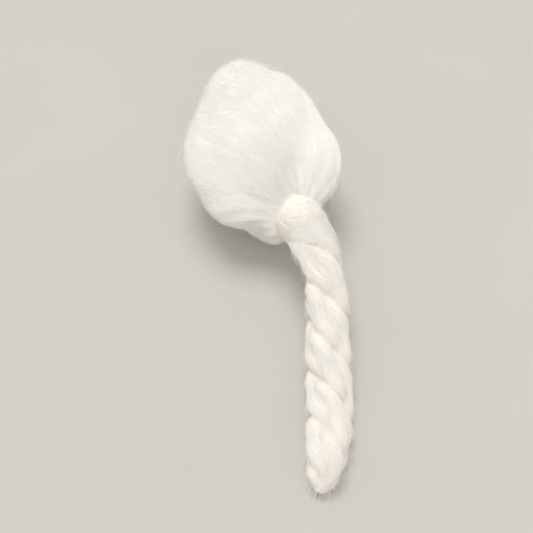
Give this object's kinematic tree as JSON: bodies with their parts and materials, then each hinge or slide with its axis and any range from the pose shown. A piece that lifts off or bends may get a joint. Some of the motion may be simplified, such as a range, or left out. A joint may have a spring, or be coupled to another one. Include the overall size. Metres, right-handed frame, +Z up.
{
  "type": "cotton wick",
  "caption": "Hand-rolled cotton wick: a soft lobed puff of loose cotton drawn out into a twisted two-ply tail, for burning in an oil lamp.",
  "frame": {"origin": "middle of the flat spot that the puff lies on", "axes": "+Z up from the surface that the wick lies on; -Y along the tail, away from the puff; +X to the right seen from the tail's tip"},
  "size_m": [0.0195, 0.0521, 0.0163],
  "materials": {
    "cotton": "loose matt white cotton fibre with a soft fuzzy surface"
  },
  "bodies": {
    "root": {"cotton_wick": "cotton"}
  },
  "joints": []
}
